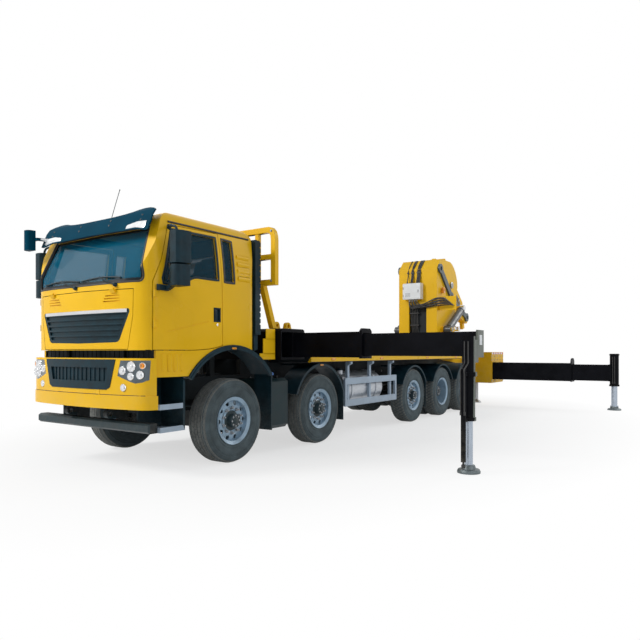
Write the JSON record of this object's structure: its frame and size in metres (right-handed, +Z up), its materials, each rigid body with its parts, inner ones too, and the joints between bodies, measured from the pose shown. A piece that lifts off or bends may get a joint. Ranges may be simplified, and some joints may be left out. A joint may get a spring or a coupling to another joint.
{
  "type": "truck-mounted folding-boom crane",
  "caption": "Truck-mounted crane with a folding telescopic boom behind a flat load deck, sliding outriggers, steered front axles and opening cab doors.",
  "frame": {"origin": "centre of the overall footprint, on the ground", "axes": "+X forward along the truck, +Y to its left, +Z up"},
  "size_m": [12.48, 8.69, 3.9138],
  "materials": {
    "tyre": "matt",
    "glass": "clear tinted",
    "lamp_lens": "clear",
    "frame_paint": "satin",
    "dark_paint": "satin",
    "rod_chrome": "polished",
    "foot_steel": "worn",
    "aluminium": "brushed",
    "black_plastic": "matt",
    "interior": "matt",
    "black_paint": "satin",
    "yellow_paint": "gloss"
  },
  "bodies": {
    "chassis": {"chassis_frame": "frame_paint", "drivetrain": "frame_paint", "tanks": "aluminium", "side_guards": "aluminium", "fenders": "black_plastic", "cab_shell": "yellow_paint", "cab_glass": "glass", "cab_interior": "interior", "cab_trim": "black_plastic", "bumper": "yellow_paint", "lamps": "lamp_lens", "headboard": "yellow_paint", "front_outrigger_box": "black_paint", "load_deck": "yellow_paint", "crane_base": "yellow_paint", "rear_outrigger_box": "yellow_paint"},
    "front_flap": {"front_flap": "yellow_paint", "grille": "black_plastic"},
    "door_left": {"door_left": "yellow_paint", "door_glass_left": "glass", "mirror_left": "black_plastic"},
    "door_right": {"door_right": "yellow_paint", "door_glass_right": "glass", "mirror_right": "black_plastic"},
    "knuckle_1_left": {"knuckle_1_left": "frame_paint"},
    "knuckle_1_right": {"knuckle_1_right": "frame_paint"},
    "knuckle_2_left": {"knuckle_2_left": "frame_paint"},
    "knuckle_2_right": {"knuckle_2_right": "frame_paint"},
    "wheel_1_left": {"wheel_1_left": "tyre"},
    "wheel_1_right": {"wheel_1_right": "tyre"},
    "wheel_2_left": {"wheel_2_left": "tyre"},
    "wheel_2_right": {"wheel_2_right": "tyre"},
    "wheel_3_left": {"wheel_3_left": "tyre"},
    "wheel_3_right": {"wheel_3_right": "tyre"},
    "wheel_4_left": {"wheel_4_left": "tyre"},
    "wheel_4_right": {"wheel_4_right": "tyre"},
    "wheel_5_left": {"wheel_5_left": "tyre"},
    "wheel_5_right": {"wheel_5_right": "tyre"},
    "crane_column": {"crane_column": "yellow_paint"},
    "inner_boom": {"inner_boom": "yellow_paint"},
    "outer_boom": {"outer_boom": "yellow_paint"},
    "boom_stage_1": {"boom_stage_1": "yellow_paint"},
    "boom_stage_2": {"boom_stage_2": "yellow_paint"},
    "lift_barrels": {"lift_barrels": "dark_paint"},
    "lift_rods": {"lift_rods": "rod_chrome"},
    "fold_barrel": {"fold_barrel": "dark_paint"},
    "fold_rod": {"fold_rod": "rod_chrome"},
    "front_beam_left": {"front_beam_left": "black_paint"},
    "front_beam_right": {"front_beam_right": "black_paint"},
    "front_arm_left": {"front_arm_left": "black_paint"},
    "front_arm_right": {"front_arm_right": "black_paint"},
    "front_foot_left": {"front_foot_left": "foot_steel"},
    "front_foot_right": {"front_foot_right": "foot_steel"},
    "rear_beam_left": {"rear_beam_left": "black_paint"},
    "rear_beam_right": {"rear_beam_right": "black_paint"},
    "rear_arm_left": {"rear_arm_left": "black_paint"},
    "rear_arm_right": {"rear_arm_right": "black_paint"},
    "rear_foot_left": {"rear_foot_left": "foot_steel"},
    "rear_foot_right": {"rear_foot_right": "foot_steel"},
    "rear_jacks": {"rear_jacks": "foot_steel"}
  },
  "joints": [
    {"name": "steer_1_left", "type": "hinge", "parent": "chassis", "child": "knuckle_1_left", "pos_m": [4.76, 0.79, 0.535], "axis": [0, 0, 1], "range_deg": [-32, 32]},
    {"name": "steer_1_right", "type": "hinge", "parent": "chassis", "child": "knuckle_1_right", "pos_m": [4.76, -0.79, 0.535], "axis": [0, 0, 1], "range_deg": [-32, 32]},
    {"name": "steer_2_left", "type": "hinge", "parent": "chassis", "child": "knuckle_2_left", "pos_m": [2.81, 0.79, 0.535], "axis": [0, 0, 1], "range_deg": [-22.4, 22.4]},
    {"name": "steer_2_right", "type": "hinge", "parent": "chassis", "child": "knuckle_2_right", "pos_m": [2.81, -0.79, 0.535], "axis": [0, 0, 1], "range_deg": [-22.4, 22.4]},
    {"name": "wheel_spin_1_left", "type": "hinge", "parent": "knuckle_1_left", "child": "wheel_1_left", "pos_m": [4.76, 1.03, 0.535], "axis": [0, 1, 0], "continuous": true},
    {"name": "wheel_spin_1_right", "type": "hinge", "parent": "knuckle_1_right", "child": "wheel_1_right", "pos_m": [4.76, -1.03, 0.535], "axis": [0, 1, 0], "continuous": true},
    {"name": "wheel_spin_2_left", "type": "hinge", "parent": "knuckle_2_left", "child": "wheel_2_left", "pos_m": [2.81, 1.03, 0.535], "axis": [0, 1, 0], "continuous": true},
    {"name": "wheel_spin_2_right", "type": "hinge", "parent": "knuckle_2_right", "child": "wheel_2_right", "pos_m": [2.81, -1.03, 0.535], "axis": [0, 1, 0], "continuous": true},
    {"name": "wheel_spin_3_left", "type": "hinge", "parent": "chassis", "child": "wheel_3_left", "pos_m": [-0.565, 1.03, 0.535], "axis": [0, 1, 0], "continuous": true},
    {"name": "wheel_spin_3_right", "type": "hinge", "parent": "chassis", "child": "wheel_3_right", "pos_m": [-0.565, -1.03, 0.535], "axis": [0, 1, 0], "continuous": true},
    {"name": "wheel_spin_4_left", "type": "hinge", "parent": "chassis", "child": "wheel_4_left", "pos_m": [-2.04, 1.03, 0.535], "axis": [0, 1, 0], "continuous": true},
    {"name": "wheel_spin_4_right", "type": "hinge", "parent": "chassis", "child": "wheel_4_right", "pos_m": [-2.04, -1.03, 0.535], "axis": [0, 1, 0], "continuous": true},
    {"name": "wheel_spin_5_left", "type": "hinge", "parent": "chassis", "child": "wheel_5_left", "pos_m": [-3.39, 1.03, 0.535], "axis": [0, 1, 0], "continuous": true},
    {"name": "wheel_spin_5_right", "type": "hinge", "parent": "chassis", "child": "wheel_5_right", "pos_m": [-3.39, -1.03, 0.535], "axis": [0, 1, 0], "continuous": true},
    {"name": "door_left_hinge", "type": "hinge", "parent": "chassis", "child": "door_left", "pos_m": [6.006, 1.128, 2], "axis": [0, 0, -1], "range_deg": [0, 70]},
    {"name": "door_right_hinge", "type": "hinge", "parent": "chassis", "child": "door_right", "pos_m": [6.006, -1.128, 2], "axis": [0, 0, 1], "range_deg": [0, 70]},
    {"name": "front_flap_hinge", "type": "hinge", "parent": "chassis", "child": "front_flap", "pos_m": [6.182, 0, 2.134], "axis": [0, -1, 0], "range_deg": [0, 65]},
    {"name": "crane_slew", "type": "hinge", "parent": "chassis", "child": "crane_column", "pos_m": [-3.99, 0, 1.76], "axis": [0, 0, 1], "range_deg": [-200, 200]},
    {"name": "boom_luff", "type": "hinge", "parent": "crane_column", "child": "inner_boom", "pos_m": [-4.19, 0, 3.15], "axis": [0, 1, 0], "range_deg": [0, 100]},
    {"name": "boom_fold", "type": "hinge", "parent": "inner_boom", "child": "outer_boom", "pos_m": [-5.84, 0, 2.4], "axis": [0, -1, 0], "range_deg": [0, 165]},
    {"name": "boom_extend_1", "type": "slide", "parent": "outer_boom", "child": "boom_stage_1", "axis": [0.7778, 0, 0.6286], "range_m": [0, 1.25]},
    {"name": "boom_extend_2", "type": "slide", "parent": "boom_stage_1", "child": "boom_stage_2", "axis": [0.7778, 0, 0.6286], "range_m": [0, 1.2]},
    {"name": "lift_barrel_swing", "type": "hinge", "parent": "crane_column", "child": "lift_barrels", "pos_m": [-3.59, 0, 1.98], "axis": [0, 1, 0], "range_deg": [0, 25.89]},
    {"name": "lift_rod_slide", "type": "slide", "parent": "lift_barrels", "child": "lift_rods", "axis": [-0.8591, 0, 0.5118], "range_m": [0, 0.82703]},
    {"name": "fold_barrel_swing", "type": "hinge", "parent": "inner_boom", "child": "fold_barrel", "pos_m": [-4.38283, 0, 2.53509], "axis": [0, 1, 0], "range_deg": [0, 4]},
    {"name": "fold_rod_slide", "type": "slide", "parent": "fold_barrel", "child": "fold_rod", "axis": [-0.9593, 0, -0.2822], "range_m": [-0.5, 0]},
    {"name": "front_beam_left_slide", "type": "slide", "parent": "chassis", "child": "front_beam_left", "axis": [0, 1, 0], "range_m": [-1.1, 0]},
    {"name": "front_arm_left_slide", "type": "slide", "parent": "front_beam_left", "child": "front_arm_left", "axis": [0, 1, 0], "range_m": [-1.42, 0]},
    {"name": "front_foot_left_slide", "type": "slide", "parent": "front_arm_left", "child": "front_foot_left", "axis": [0, 0, -1], "range_m": [-0.42, 0]},
    {"name": "rear_beam_left_slide", "type": "slide", "parent": "chassis", "child": "rear_beam_left", "axis": [0, 1, 0], "range_m": [-1.95, 0]},
    {"name": "rear_arm_left_slide", "type": "slide", "parent": "rear_beam_left", "child": "rear_arm_left", "axis": [0, 1, 0], "range_m": [-0.82, 0]},
    {"name": "rear_foot_left_slide", "type": "slide", "parent": "rear_arm_left", "child": "rear_foot_left", "axis": [0, 0, -1], "range_m": [-0.42, 0]},
    {"name": "front_beam_right_slide", "type": "slide", "parent": "chassis", "child": "front_beam_right", "axis": [0, -1, 0], "range_m": [-1.1, 0]},
    {"name": "front_arm_right_slide", "type": "slide", "parent": "front_beam_right", "child": "front_arm_right", "axis": [0, -1, 0], "range_m": [-1.42, 0]},
    {"name": "front_foot_right_slide", "type": "slide", "parent": "front_arm_right", "child": "front_foot_right", "axis": [0, 0, -1], "range_m": [-0.42, 0]},
    {"name": "rear_beam_right_slide", "type": "slide", "parent": "chassis", "child": "rear_beam_right", "axis": [0, -1, 0], "range_m": [-1.95, 0]},
    {"name": "rear_arm_right_slide", "type": "slide", "parent": "rear_beam_right", "child": "rear_arm_right", "axis": [0, -1, 0], "range_m": [-0.82, 0]},
    {"name": "rear_foot_right_slide", "type": "slide", "parent": "rear_arm_right", "child": "rear_foot_right", "axis": [0, 0, -1], "range_m": [-0.42, 0]},
    {"name": "rear_jacks_slide", "type": "slide", "parent": "chassis", "child": "rear_jacks", "axis": [0, 0, -1], "range_m": [-0.4, 0]}
  ],
  "couplings": [
    {"joint": "steer_1_right", "follows": "steer_1_left", "ratio": 1},
    {"joint": "steer_2_left", "follows": "steer_1_left", "ratio": 0.7},
    {"joint": "steer_2_right", "follows": "steer_1_left", "ratio": 0.7},
    {"joint": "boom_extend_2", "follows": "boom_extend_1", "ratio": 0.96},
    {"joint": "lift_barrel_swing", "follows": "boom_luff", "ratio": 0.25887},
    {"joint": "lift_rod_slide", "follows": "boom_luff", "m_per_rad": 0.47385},
    {"joint": "fold_barrel_swing", "follows": "boom_fold", "ratio": 0.024242},
    {"joint": "fold_rod_slide", "follows": "boom_fold", "m_per_rad": -0.17362},
    {"joint": "front_arm_left_slide", "follows": "front_beam_left_slide", "ratio": 1.2909},
    {"joint": "rear_arm_left_slide", "follows": "rear_beam_left_slide", "ratio": 0.42051},
    {"joint": "front_arm_right_slide", "follows": "front_beam_right_slide", "ratio": 1.2909},
    {"joint": "rear_arm_right_slide", "follows": "rear_beam_right_slide", "ratio": 0.42051}
  ]
}
